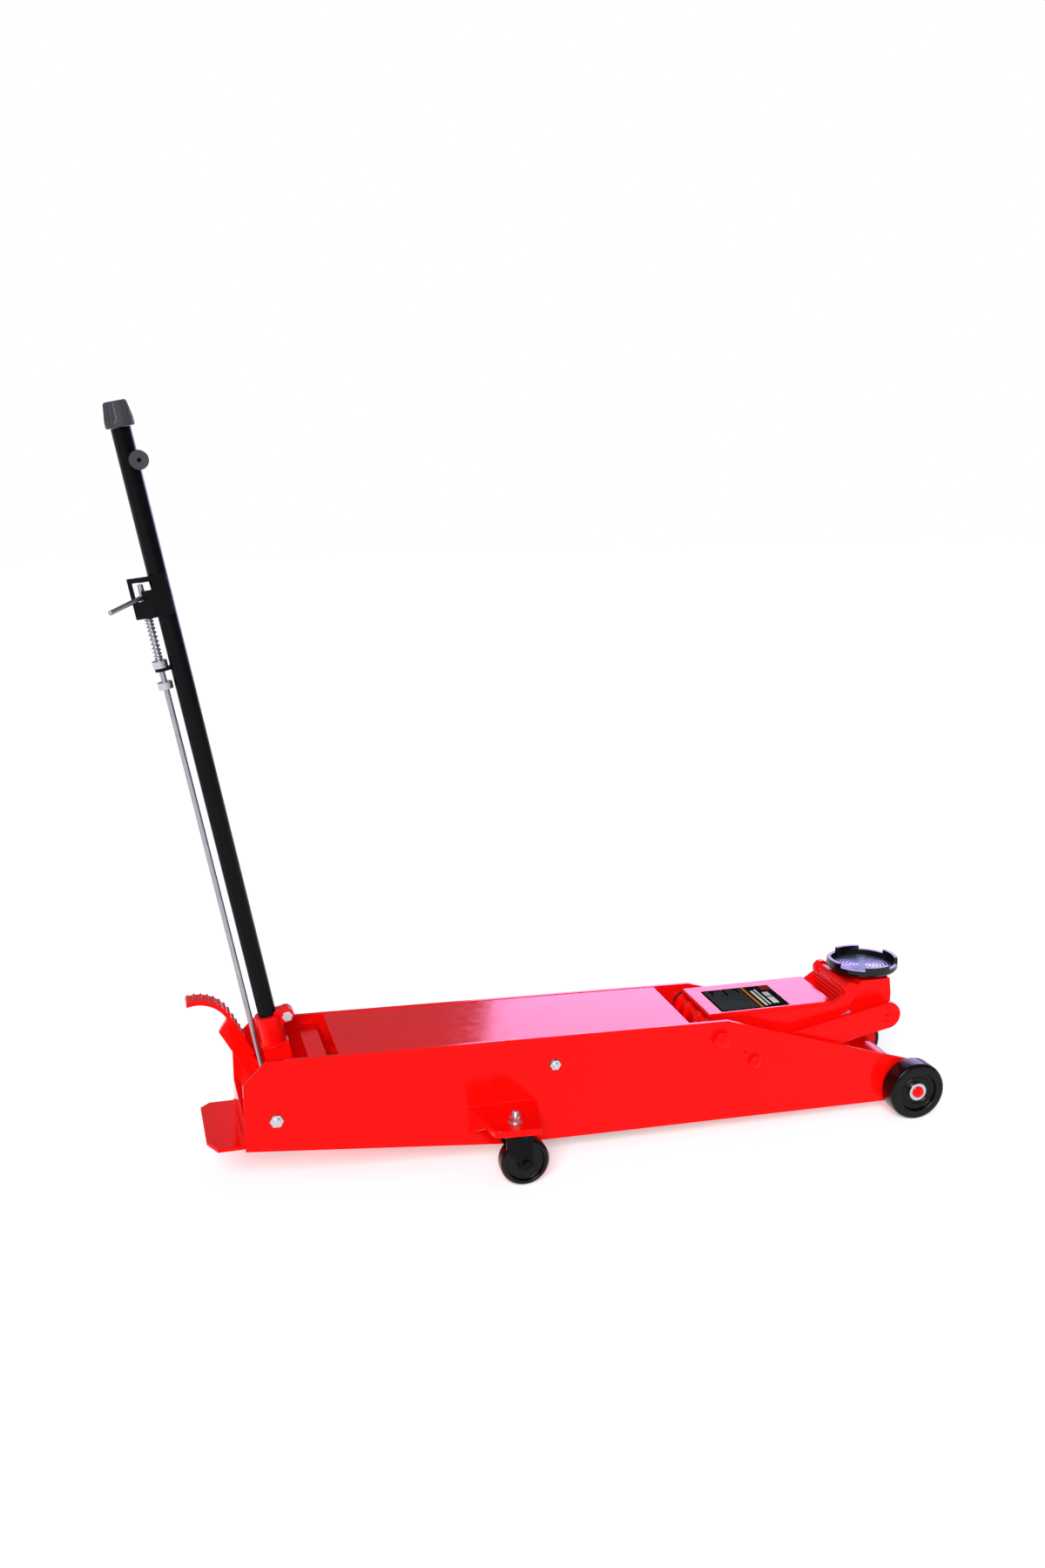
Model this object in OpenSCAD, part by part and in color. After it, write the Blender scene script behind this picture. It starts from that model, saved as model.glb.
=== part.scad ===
// Long-chassis hydraulic service jack.
// X runs forward along the chassis, Y to its left and Z up from the floor.
// Stations along the chassis are measured from the front axle, which is
// set so that the origin is under the middle of the whole jack.

/* [Chassis] */
// Width over the two side plates
chassis_w = 233; // [215:1:280]
// Thickness of a side plate
plate_t = 8; // [6:0.5:10]
// Height of the side plates' top edge at the arm pivot
deck_z = 258; // [245:1:270]
// Distance from the front axle back to the rear edge of the side plates
chassis_len = 1433; // [1400:1:1750]
// Thickness of the deck cover
cover_t = 6; // [4:0.5:8]
// Length of the rear step
step_len = 52; // [40:1:70]

/* [Front wheels] */
// Diameter of a front wheel
wheel_d = 127; // [110:1:134]
// Width of a front wheel
wheel_w = 48; // [38:1:60]
// Diameter of the front axle
axle_d = 25; // [20:0.5:30]

/* [Casters] */
// Diameter of a caster wheel
caster_d = 100; // [84:1:102]
// Width of a caster wheel
caster_w = 34; // [26:1:38]
// Distance of the kingpins behind the front axle
caster_back = 914; // [880:1:940]
// Distance of a kingpin out from the side plate
kingpin_out = 87; // [84:1:110]
// Diameter of a kingpin
kingpin_d = 14; // [12:0.5:16]

/* [Lift arm] */
// Length of the arm and of its parallel links, from pin to pin
arm_len = 323.8; // [312:0.1:335]
// Angle of the arm above the level, as it stands
arm_rise = 10.95; // [9.5:0.05:12]
// Width over the arm's cheeks
arm_w = 156; // [140:1:160]
// Thickness of an arm cheek
cheek_t = 12; // [9:0.5:14]
// Diameter of the arm's pivot shaft
arm_shaft_d = 32; // [26:0.5:38]
// Thickness of a parallel link
link_t = 12; // [8:0.5:14]
// Depth of a parallel link
link_h = 60; // [48:1:62]
// Radius of the lever that the ram pushes
lever_r = 95; // [90:1:98]

/* [Saddle] */
// Diameter of the saddle's rim
saddle_d = 155; // [120:1:165]
// Height of the saddle's rim above the floor, as it stands
saddle_z = 314; // [312:1:322]
// Diameter of the saddle's stem
saddle_stem_d = 34; // [26:0.5:40]

/* [Hydraulics] */
// Outer diameter of the lift cylinder
cylinder_d = 84; // [70:1:88]
// Diameter of the ram
ram_d = 40; // [30:1:48]
// Outer diameter of the oil reservoir
reservoir_d = 112; // [100:1:118]
// Width of the pump casting
pump_w = 140; // [110:1:160]

/* [Handle] */
// Outer diameter of the handle tube
tube_d = 36; // [30:0.5:40]
// Distance from the handle's pivot to the top of the release knob
handle_len = 1374; // [1340:1:1500]
// Angle at which the handle leans back, as it stands
handle_lean = 10.7; // [8:0.1:13]
// Diameter of the handle's pivot shaft
pivot_d = 20; // [16:0.5:22]
// Diameter of the lock rod
lock_rod_d = 11; // [9:0.5:12]
// Diameter of the release knob at its base
knob_d = 52; // [48:1:60]

/* [Pedal] */
// Width of the pedal's tread
pedal_w = 40; // [30:1:42]
// Thickness of the pedal's tread
pedal_t = 9; // [7:0.5:11]

/* [Hidden] */
$fn = 64;

// Clearances: a shaft in its bore, a bolt in its hole, and two moving neighbours
run_gap = 0.05;
// Flat sides stand this far inside the round ends that they run into
tuck = 0.4;
side_gap = 0.5;
move_gap = 2;

half_w = chassis_w / 2;
inner_w = half_w - plate_t;
wheel_r = wheel_d / 2;
axle_z = wheel_r;

// Stations and heights of the pivots, from the front axle and the floor
arm_x = -442;
arm_z = 216;
link_dx = 78;
link_dz = -58;
pivot_x = -1371.5;
pivot_z = 154.6;
arm_tip_x = arm_x + arm_len * cos(arm_rise);
arm_tip_z = arm_z + arm_len * sin(arm_rise);

// The handle's tube stands this far forward of the lock rod, whose line goes through the pivot
tube_u = 34.7;
rear_reach = -pivot_x + handle_len * sin(handle_lean) - (tube_u - knob_d / 2 + 5) * cos(handle_lean);
front_axle_x = (rear_reach - wheel_r) / 2;

// Top edge of the side plates: a straight line rising to the rear
deck_slope = 0.0235;
deck_peak_x = -428;
function deck_at(x) = deck_z - 2 + deck_slope * (deck_peak_x - x);
// Front slope and rounded nose of the side plates
nose_r = 45;
nose_z = 72;
nose_angle = 72;
// Under edge of the side plates: level in front, rising behind the casters
keel_x = -900;
keel_z = 41;
tail_z = 95;
tail_chamfer = 46;
chamfer_top_x = -chassis_len + tail_chamfer;

// Places of the deck cover and of the arm's top plate
cover_back = 1245;
cover_front = 510;
cover_lip = 25;
bay_back = 1299;
bay_front = 1262;
bay_z = 257;
arm_plate_back = 457;
arm_plate_front = 168;
arm_plate_t = 8;

// Casters
fork_gap = 2;
caster_trail = 17;
kingpin_y = half_w + kingpin_out;
shelf_t = 8;
shelf_z = 133;
shelf_back = 76;
shelf_front = 68;
shelf_out = 42;
caster_axle_d = 10;

// Arm and links
half_arm = arm_w / 2;
link_y = half_arm + (inner_w - half_arm - link_t) / 2 + 2;
arm_tip_r = 17;
arm_hub_r = 34;
arm_sleeve_r = 24;
bolt_r = 15;
link_pin_d = 24;
lever_back = 14;
lever_x = arm_x - lever_r * sin(lever_back);
lever_z = arm_z - lever_r * cos(lever_back);
roller_r = 16;
lever_pin_r = 9;

// Ram and cylinder
ram_axis_z = arm_z - lever_r * (1 + cos(32)) / 2;
ram_gap = 1.3;
ram_head_x = lever_x - roller_r - ram_gap;
ram_head_t = 14;
ram_stroke_in = 29.5;
cylinder_front = ram_head_x - ram_head_t - ram_stroke_in - move_gap;
cylinder_back = -862;
gland_t = 16;
reservoir_back = -1168;
pump_back = -1298;
pump_front = -1180;
pump_top = 200;
pump_base = 74;

// Pump drive: a roller under the handle's pivot pushes the plunger forward
cam_r = 40;
cam_roller_r = 12;
cam_gap = 1.7;
plunger_r = 11;
plunger_z = pivot_z - cam_r;

// Handle, in its own frame: u forward from the pivot and w along the tube
yoke_in = 12;
yoke_t = 11;
yoke_hub_r = 20;
socket_base_w = 60;
socket_w = 110;
socket_top_w = 172;
socket_wall = 8;
block_back = 9;
block_front = 62;
ear_u = 71;
ear_w = 163;
ear_r = 14.5;
knob_h = 46;
knob_w = handle_len - knob_h;
quadrant_r = 50;
quadrant_t = 12;
tip_gap = 1.2;
tip_w = quadrant_r + tip_gap;
collar_low_w = 853;
tab_w = 887;
tab_t = 6;
collar_top_w = tab_w + tab_t;
collar_h = 14;
spring_w = collar_top_w + collar_h;
bracket_w = 988;
bracket_h = 76;
handle_pin_w = 1027;
pin_droop = 6;
pin_turn = 43;

saddle_x = arm_tip_x + 63;
saddle_floor_z = saddle_z - 12;
saddle_base_z = saddle_z - 22;
block_top_z = saddle_base_z - side_gap;
block_half = half_arm - cheek_t - side_gap;

// A bar along Y, from one side to the other
module bar_y(x, z, from, to, r) {
  translate([x, from, z]) rotate([-90, 0, 0]) cylinder(h = to - from, r = r);
}
// An outline in X and Z, given a thickness along Y
module slab_y(from, t) {
  translate([0, from + t, 0]) rotate([90, 0, 0]) linear_extrude(t) children();
}
module hex_y(x, z, from, h, across) {
  translate([x, from, z]) rotate([-90, 0, 0]) cylinder(h = h, d = across / cos(30), $fn = 6);
}
module at_axle() translate([front_axle_x, 0, 0]) children();
module mirrored(side) mirror([0, side < 0 ? 1 : 0, 0]) children();
module in_handle() at_axle() translate([pivot_x, 0, pivot_z]) rotate([0, -handle_lean, 0]) children();

// A bar between two pins, round at both ends
module strap_y(from, t, x1, z1, r1, x2, z2, r2) {
  gap = sqrt(pow(x2 - x1, 2) + pow(z2 - z1, 2));
  turn = atan2(z2 - z1, x2 - x1);
  lean = asin((r1 - r2) / gap);
  up = [sin(lean), cos(lean)];
  a = (r1 - tuck) * up;
  b = (r2 - tuck) * up;
  bar_y(x1, z1, from, from + t, r1);
  bar_y(x2, z2, from, from + t, r2);
  slab_y(from, t) translate([x1, z1]) rotate(turn)
    polygon([a, [gap + b[0], b[1]], [gap + b[0], -b[1]], [a[0], -a[1]]]);
}

// ---- Chassis ----

module side_outline() {
  slope_x = (nose_r - 0.3) * cos(nose_angle);
  slope_z = nose_z + (nose_r - 0.3) * sin(nose_angle);
  polygon([
    [0, nose_z - nose_r + 0.3], [keel_x, keel_z], [-chassis_len, tail_z],
    [-chassis_len, deck_at(-chassis_len) - tail_chamfer], [chamfer_top_x, deck_at(chamfer_top_x)],
    [deck_peak_x, deck_at(deck_peak_x)], [slope_x, slope_z]
  ]);
}

module side_plate(side) {
  color("red") at_axle() mirrored(side) difference() {
    union() {
      slab_y(inner_w, plate_t) side_outline();
      bar_y(0, nose_z, inner_w, half_w, nose_r);
    }
    bar_y(0, axle_z, inner_w - 1, half_w + 1, axle_d / 2 + run_gap);
    bar_y(arm_x, arm_z, inner_w - 1, half_w + 1, arm_shaft_d / 2 + run_gap);
    bar_y(arm_x + link_dx, arm_z + link_dz, inner_w - 1, half_w + 1, bolt_r + run_gap);
    bar_y(pivot_x, pivot_z, inner_w - 1, half_w + 1, pivot_d / 2 + run_gap);
    bar_y(tie_x, tie_z, inner_w - 1, half_w + 1, tie_r + run_gap);
  }
}
tie_x = -807;
tie_z = 205;
tie_r = 8;

module side_plate_right() side_plate(-1);
module side_plate_left() side_plate(1);

module top_cover() {
  back_z = deck_at(-cover_back) - 1;
  front_z = deck_at(-cover_front) - 1;
  color("red") at_axle() slab_y(-inner_w, 2 * inner_w) polygon([
    [-cover_back, back_z - cover_t], [-cover_back, back_z],
    [-cover_front, front_z], [-cover_front, front_z - cover_lip],
    [-cover_front - cover_t, front_z - cover_lip], [-cover_front - cover_t, front_z - cover_t]
  ]);
}

// Cross plate over the pump, between the handle's socket and the deck cover
module bay_plate() {
  color("red") at_axle() translate([-bay_back, -inner_w, bay_z - cover_t])
    cube([bay_back - bay_front, 2 * inner_w, cover_t]);
}

module rear_step() {
  lip = 20;
  flat = step_len;
  color("red") at_axle() intersection() {
    slab_y(-inner_w, 2 * inner_w) polygon([
      [-chassis_len, 97], [-chassis_len - flat, 97], [-chassis_len - flat - lip, 102],
      [-chassis_len - flat - lip, 110], [-chassis_len - flat, 105], [-chassis_len, 105]
    ]);
    linear_extrude(200) polygon([
      [-chassis_len, -inner_w], [-chassis_len - flat, -inner_w], [-chassis_len - flat - lip, 30 - inner_w],
      [-chassis_len - flat - lip, inner_w - 30], [-chassis_len - flat, inner_w], [-chassis_len, inner_w]
    ]);
  }
}

module rear_cross_plate() {
  color("red") at_axle() translate([-chassis_len, -inner_w, 96]) cube([8, 2 * inner_w, 54]);
}

module front_cross_tube() {
  color("red") at_axle() difference() {
    bar_y(0, axle_z, -inner_w, inner_w, axle_d / 2 + 11);
    bar_y(0, axle_z, -inner_w - 1, inner_w + 1, axle_d / 2 + run_gap);
  }
}

// A cross plate that holds a round tank or cylinder
module holed_plate(x, t, r) {
  color("red") at_axle() difference() {
    translate([x, -inner_w, 62]) cube([t, 2 * inner_w, 180]);
    translate([x - 1, 0, ram_axis_z]) rotate([0, 90, 0]) cylinder(h = t + 2, r = r);
  }
}
module front_mount_plate() holed_plate(cylinder_front - 40, 10, cylinder_d / 2 + run_gap);
module rear_mount_plate() holed_plate(reservoir_back + 60, 10, reservoir_d / 2 + run_gap);

module tie_rod() {
  color("silver") at_axle() {
    bar_y(tie_x, tie_z, -half_w, half_w, tie_r);
    for (side = [-1, 1]) mirrored(side) hex_y(tie_x, tie_z, half_w, 7, 20);
  }
}

module shelf_outline() {
  polygon([
    [-shelf_back, half_w], [shelf_front, half_w],
    [shelf_front - 26, kingpin_y + shelf_out], [46 - shelf_back, kingpin_y + shelf_out - 4],
    [26 - shelf_back, kingpin_y + shelf_out - 12]
  ]);
}

module caster_bracket(side) {
  depth = 56;
  lip = 14;
  color("red") at_axle() mirrored(side) translate([-caster_back, 0, 0]) difference() {
    union() {
      translate([0, 0, shelf_z - shelf_t]) linear_extrude(shelf_t) shelf_outline();
      intersection() {
        translate([0, 0, shelf_z - depth]) linear_extrude(depth) difference() {
          shelf_outline();
          polygon([
            [8 - shelf_back, half_w - 1], [shelf_front - 8, half_w - 1],
            [shelf_front - 33, kingpin_y + shelf_out - 7], [48 - shelf_back, kingpin_y + shelf_out - 11],
            [34 - shelf_back, kingpin_y + shelf_out - 18]
          ]);
        }
        rotate([90, 0, 90]) translate([0, 0, -shelf_back - 1]) linear_extrude(shelf_back + shelf_front + 2)
          polygon([
            [half_w, shelf_z], [half_w, shelf_z - depth],
            [kingpin_y - 10, shelf_z - lip], [kingpin_y + shelf_out + 1, shelf_z - lip],
            [kingpin_y + shelf_out + 1, shelf_z]
          ]);
      }
    }
    translate([0, kingpin_y, shelf_z - shelf_t - 1]) cylinder(h = shelf_t + 2, d = kingpin_d + 2 * run_gap);
  }
}
module caster_bracket_right() caster_bracket(-1);
module caster_bracket_left() caster_bracket(1);

// Kingpins: a bolt with a nut above the shelf and a bearing collar below it
fork_top = 112;
fork_t = 6;
module kingpins() {
  color("silver") for (side = [-1, 1]) at_axle() mirrored(side) translate([-caster_back, kingpin_y, 0]) {
    translate([0, 0, fork_top - fork_t - 5]) cylinder(h = shelf_z + 24 - fork_top + fork_t + 5, d = kingpin_d);
    translate([0, 0, fork_top - fork_t - 5]) cylinder(h = 4.5, d = kingpin_d + 8);
    translate([0, 0, fork_top + 0.5]) cylinder(h = shelf_z - shelf_t - fork_top - 0.5, d = kingpin_d + 12);
    translate([0, 0, shelf_z]) cylinder(h = 3, d = kingpin_d + 12);
    translate([0, 0, shelf_z + 3]) cylinder(h = 12, d = 22 / cos(30), $fn = 6);
  }
}

module front_axle() {
  end = half_w + 3 + wheel_w + 1;
  color("red") at_axle() bar_y(0, axle_z, -end, end, axle_d / 2);
}

// Retaining rings outside the wheels and thrust washers inside them
module axle_rings() {
  color("silver") for (side = [-1, 1]) at_axle() mirrored(side) difference() {
    union() {
      bar_y(0, axle_z, half_w, half_w + 2.5, axle_d / 2 + 8);
      bar_y(0, axle_z, half_w + 3.5 + wheel_w - 8, half_w + 3 + wheel_w - 2, axle_d / 2 + 7);
    }
    bar_y(0, axle_z, half_w - 1, half_w + wheel_w + 8, axle_d / 2);
  }
}

module arm_shaft() {
  color("red") at_axle() {
    bar_y(arm_x, arm_z, -half_w - 2, half_w + 2, arm_shaft_d / 2);
    for (side = [-1, 1]) mirrored(side) {
      hex_y(arm_x, arm_z, half_w, 12, 38);
    }
  }
}

module arm_shaft_spacers() {
  color("dimgray") for (side = [-1, 1]) at_axle() mirrored(side) difference() {
    bar_y(arm_x, arm_z, half_arm + side_gap, inner_w, arm_shaft_d / 2 + 6);
    bar_y(arm_x, arm_z, half_arm, inner_w + 1, arm_shaft_d / 2 + run_gap);
  }
}

module link_bolts() {
  color("red") for (side = [-1, 1]) at_axle() mirrored(side) {
    bar_y(arm_x + link_dx, arm_z + link_dz, link_y - 4, half_w, bolt_r);
    bar_y(arm_x + link_dx, arm_z + link_dz, link_y - 4, link_y - 0.5, bolt_r + 7);
    hex_y(arm_x + link_dx, arm_z + link_dz, half_w, 9, 28);
  }
}

module handle_shaft() {
  color("silver") at_axle() {
    bar_y(pivot_x, pivot_z, -half_w, half_w, pivot_d / 2);
    for (side = [-1, 1]) mirrored(side) hex_y(pivot_x, pivot_z, half_w, 6, 24);
  }
}

// Notched plate that the lock rod drops into; it stands on the rear cross plate
module lock_quadrant() {
  leg_x = -chassis_len + 8;
  color("dimgray") at_axle() difference() {
    slab_y(-quadrant_t / 2, quadrant_t) union() {
      intersection() {
        translate([pivot_x, pivot_z]) circle(r = quadrant_r);
        translate([pivot_x - 60, pivot_z - 11]) square([100, 80]);
      }
      polygon([
        [leg_x, 100], [leg_x + 12, 100], [pivot_x - 30, pivot_z - 11], [pivot_x, pivot_z - 11],
        [pivot_x, pivot_z + 6], [leg_x, pivot_z - 5]
      ]);
    }
    bar_y(pivot_x, pivot_z, -quadrant_t, quadrant_t, pivot_d / 2);
    for (stop = [handle_lean, 35, 56]) {
      translate([pivot_x, 0, pivot_z]) rotate([0, -stop, 0])
        translate([-lock_rod_d / 2 - 1, -quadrant_t, quadrant_r - 9]) cube([lock_rod_d + 2, 2 * quadrant_t, 20]);
    }
  }
}

// ---- Hydraulics ----

module pump_casting() {
  w = pump_w;
  color("red") at_axle() difference() {
    union() {
      translate([pump_back, -w / 2, pump_base]) cube([pump_front - pump_back, w, pump_top - pump_base]);
      translate([pump_back + 38, -w / 2 + 18, pump_top]) cube([62, w - 36, 22]);
      translate([pump_back + 69, 0, pump_top + 22]) cylinder(h = 8, d = 26);
      translate([pump_back + 69, 38, pump_top + 22]) cylinder(h = 6, d = 18 / cos(30), $fn = 6);
      translate([pump_back + 69, -38, pump_top + 22]) cylinder(h = 6, d = 18 / cos(30), $fn = 6);
      translate([pump_back - 10, 0, plunger_z]) rotate([0, 90, 0]) cylinder(h = 12, r = plunger_r + 9);
      translate([pump_front, 0, ram_axis_z]) rotate([0, 90, 0])
        cylinder(h = reservoir_back - pump_front, r = 40);
    }
    translate([pump_back - 11, 0, plunger_z]) rotate([0, 90, 0]) cylinder(h = 81, r = plunger_r + run_gap);
  }
}

module reservoir() {
  color("red") at_axle() translate([reservoir_back, 0, ram_axis_z]) rotate([0, 90, 0])
    cylinder(h = cylinder_back - reservoir_back, d = reservoir_d);
}

module lift_cylinder() {
  bore = ram_d / 2 + 8;
  color("dimgray") at_axle() translate([cylinder_back, 0, ram_axis_z]) rotate([0, 90, 0]) difference() {
    cylinder(h = cylinder_front - gland_t - cylinder_back, d = cylinder_d);
    translate([0, 0, 20]) cylinder(h = 500, r = bore);
  }
}

module cylinder_gland() {
  color("silver") at_axle() translate([cylinder_front - gland_t, 0, ram_axis_z]) rotate([0, 90, 0]) difference() {
    cylinder(h = gland_t, d = cylinder_d - 8);
    translate([0, 0, -1]) cylinder(h = gland_t + 2, r = ram_d / 2 + run_gap);
  }
}

// ---- Front wheels ----

module front_wheel(side) {
  edge = 7;
  dish = 7;
  hub_r = axle_d / 2 + 10;
  y0 = half_w + 3;
  color("black") at_axle() mirrored(side) translate([0, y0, axle_z]) rotate([-90, 0, 0]) rotate_extrude($fn = 96)
    polygon([
      [axle_d / 2 + run_gap, 0], [wheel_r - 8, 0], [wheel_r - 2, 3], [wheel_r, edge + 1],
      [wheel_r, wheel_w - edge - 1], [wheel_r - 2, wheel_w - 3], [wheel_r - 8, wheel_w],
      [wheel_r - 20, wheel_w], [wheel_r - 23, wheel_w - dish], [hub_r + 3, wheel_w - dish],
      [hub_r, wheel_w - 8], [axle_d / 2 + run_gap, wheel_w - 8]
    ]);
}
module front_wheel_right() front_wheel(-1);
module front_wheel_left() front_wheel(1);

// ---- Casters ----

module caster_fork(side) {
  inner = caster_w / 2 + fork_gap;
  cheek = 4;
  color("black") at_axle() mirrored(side) translate([-caster_back, kingpin_y, 0]) difference() {
    union() {
      translate([0, 0, fork_top - fork_t]) cylinder(h = fork_t, r = 30);
      translate([-24, -inner - cheek, fork_top - fork_t]) cube([24 + caster_trail + 12, 2 * (inner + cheek), fork_t]);
      for (y = [-inner - cheek, inner]) slab_y(y, cheek) union() {
        translate([caster_trail, caster_d / 2]) circle(r = 14);
        polygon([
          [caster_trail - 14, caster_d / 2], [-24, 84], [-24, fork_top - fork_t],
          [caster_trail + 12, fork_top - fork_t], [caster_trail + 14, caster_d / 2]
        ]);
      }
    }
    translate([0, 0, fork_top - 30]) cylinder(h = 40, d = kingpin_d + 2 * run_gap);
    bar_y(caster_trail, caster_d / 2, -50, 50, caster_axle_d / 2);
  }
}
module caster_fork_right() caster_fork(-1);
module caster_fork_left() caster_fork(1);

module caster_axle(side) {
  end = caster_w / 2 + fork_gap + 4;
  color("silver") at_axle() mirrored(side) translate([caster_trail - caster_back, kingpin_y, 0]) {
    bar_y(0, caster_d / 2, -end, end, caster_axle_d / 2);
    hex_y(0, caster_d / 2, end, 5, 15);
    hex_y(0, caster_d / 2, -end - 5, 5, 15);
  }
}
module caster_axle_right() caster_axle(-1);
module caster_axle_left() caster_axle(1);

module caster_wheel(side) {
  r = caster_d / 2;
  h = caster_w / 2;
  color("black") at_axle() mirrored(side) translate([caster_trail - caster_back, kingpin_y, r])
    rotate([-90, 0, 0]) rotate_extrude($fn = 96) polygon([
      [caster_axle_d / 2 + run_gap, -h - 1], [13, -h - 1], [15, 6 - h], [r - 13, 6 - h], [r - 11, -h],
      [r - 5, -h], [r, 6 - h], [r, h - 6], [r - 5, h], [r - 11, h], [r - 13, h - 6], [15, h - 6],
      [13, h + 1], [caster_axle_d / 2 + run_gap, h + 1]
    ]);
}
module caster_wheel_right() caster_wheel(-1);
module caster_wheel_left() caster_wheel(1);

// ---- Lift arm ----

arm_plate_z = arm_z + arm_hub_r;
module cheek_outline() {
  polygon([
    [arm_x - 4, arm_plate_z], [-arm_plate_front, arm_plate_z],
    [arm_tip_x - 20, arm_tip_z - 12], [arm_tip_x, arm_tip_z],
    [arm_tip_x + 6, arm_tip_z - arm_tip_r * cos(15)],
    [arm_tip_x - 8, arm_tip_z - 48], [arm_tip_x - 30, arm_tip_z - 56], [-arm_plate_front - 60, arm_z - 14],
    [arm_x + 8, arm_z - arm_hub_r]
  ]);
}

module arm_cheek(side) {
  color("red") at_axle() mirrored(side) difference() {
    union() {
      slab_y(half_arm - cheek_t, cheek_t) cheek_outline();
      bar_y(arm_x, arm_z, half_arm - cheek_t, half_arm, arm_hub_r - 0.6);
      bar_y(arm_tip_x, arm_tip_z, half_arm - cheek_t, half_arm, arm_tip_r);
    }
    bar_y(arm_x, arm_z, half_arm - cheek_t - 1, half_arm + 1, arm_shaft_d / 2 + run_gap);
    bar_y(arm_tip_x, arm_tip_z, half_arm - cheek_t - 1, half_arm + 1, link_pin_d / 2);
  }
}
module arm_cheek_right() arm_cheek(-1);
module arm_cheek_left() arm_cheek(1);

module arm_top_plate() {
  top = arm_plate_z + arm_plate_t;
  color("red") at_axle() slab_y(-half_arm, arm_w) polygon([
    [-arm_plate_front, arm_plate_z], [-arm_plate_front, top], [-arm_plate_back + 3, top],
    [-arm_plate_back, top - 3], [-arm_plate_back, arm_plate_z]
  ]);
}

module arm_hub() {
  color("red") at_axle() difference() {
    bar_y(arm_x, arm_z, cheek_t - half_arm, half_arm - cheek_t, arm_sleeve_r);
    bar_y(arm_x, arm_z, -half_arm, half_arm, arm_shaft_d / 2 + run_gap);
  }
}

module arm_lever() {
  color("red") for (side = [-1, 1]) at_axle() mirrored(side) difference() {
    strap_y(22, 14, arm_x, arm_z, arm_hub_r - 1, lever_x, lever_z, 18);
    bar_y(arm_x, arm_z, 20, 40, arm_sleeve_r);
    bar_y(lever_x, lever_z, 20, 40, lever_pin_r);
  }
}

module lever_roller() {
  color("silver") at_axle() {
    bar_y(lever_x, lever_z, -22, 22, roller_r);
    bar_y(lever_x, lever_z, -36, 36, lever_pin_r);
  }
}

module arm_front_pin() {
  color("silver") at_axle() bar_y(arm_tip_x, arm_tip_z, -half_arm, half_arm, link_pin_d / 2);
}

module parallel_link(side) {
  x1 = arm_x + link_dx;
  z1 = arm_z + link_dz;
  x2 = arm_tip_x + link_dx;
  z2 = arm_tip_z + link_dz;
  color("red") at_axle() mirrored(side) difference() {
    strap_y(link_y, link_t, x1, z1, link_h / 2, x2, z2, link_h / 2);
    bar_y(x1, z1, link_y - 1, link_y + link_t + 1, bolt_r + run_gap);
    bar_y(x2, z2, link_y - 1, link_y + link_t + 1, link_pin_d / 2 + run_gap);
  }
}
module link_right() parallel_link(-1);
module link_left() parallel_link(1);

// ---- Saddle ----

block_rear = arm_tip_x - 16;
module block_outline() {
  front = saddle_x + 38;
  polygon([
    [block_rear, block_top_z - 20], [block_rear + 6, block_top_z - 11], [saddle_x - 40, block_top_z - 7],
    [saddle_x - 34, block_top_z], [front - 4, block_top_z],
    [front, arm_tip_z + link_dz + 40], [front, arm_tip_z + link_dz],
    [arm_tip_x + link_dx - 18, arm_tip_z + link_dz - 18],
    [block_rear + 28, arm_tip_z - 60], [block_rear, arm_tip_z - 36]
  ]);
}

module saddle_block() {
  color("red") at_axle() difference() {
    union() {
      slab_y(-block_half, 2 * block_half) block_outline();
      for (i = [0:3]) bar_y(block_rear + 1.3, block_top_z - 19 - 10 * i, -block_half, block_half, 5);
      bar_y(arm_tip_x + link_dx, arm_tip_z + link_dz, -block_half, block_half, 22);
    }
    bar_y(arm_tip_x, arm_tip_z, -half_arm, half_arm, link_pin_d / 2 + run_gap);
    bar_y(arm_tip_x + link_dx, arm_tip_z + link_dz, -half_arm, half_arm, link_pin_d / 2);
    translate([saddle_x, 0, block_top_z - 36]) cylinder(h = 50, d = saddle_stem_d + 2 * run_gap);
  }
}

module link_pin() {
  x = arm_tip_x + link_dx;
  z = arm_tip_z + link_dz;
  color("silver") at_axle() {
    bar_y(x, z, -link_y - link_t + 1, link_y + link_t - 1, link_pin_d / 2);
    for (side = [-1, 1]) mirrored(side) bar_y(x, z, block_half + 0.01, link_y - side_gap, link_pin_d / 2 + 5);
  }
}

module saddle() {
  r = saddle_d / 2;
  color("black") at_axle() translate([saddle_x, 0, 0]) {
    rotate_extrude($fn = 96) polygon([
      [0, saddle_base_z], [r - 16, saddle_base_z], [r - 3, saddle_base_z + 8], [r, saddle_base_z + 13],
      [r, saddle_z], [r - 8, saddle_z], [r - 11, saddle_floor_z], [0, saddle_floor_z]
    ]);
    for (a = [0:90:270]) rotate([0, 0, a]) translate([0, 0, saddle_z - 1]) intersection() {
      difference() {
        cylinder(h = 9, r = r, $fn = 96);
        translate([0, 0, -1]) cylinder(h = 12, r = r - 8, $fn = 96);
      }
      linear_extrude(9) polygon([[0, 0], [2 * r * cos(22), -2 * r * sin(22)], [2 * r * cos(22), 2 * r * sin(22)]]);
    }
    translate([0, 0, saddle_base_z - 35]) cylinder(h = 36, d = saddle_stem_d);
  }
}

// ---- Ram ----

module ram() {
  color("silver") at_axle() {
    translate([ram_head_x - ram_head_t, -21, ram_axis_z - 24]) cube([ram_head_t, 42, 48]);
    translate([cylinder_front - 190, 0, ram_axis_z]) rotate([0, 90, 0])
      cylinder(h = ram_head_x - ram_head_t - cylinder_front + 190.5, d = ram_d);
    translate([cylinder_front - 190, 0, ram_axis_z]) rotate([0, 90, 0]) cylinder(h = 22, r = ram_d / 2 + 7.9);
  }
}

// ---- Handle ----

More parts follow.
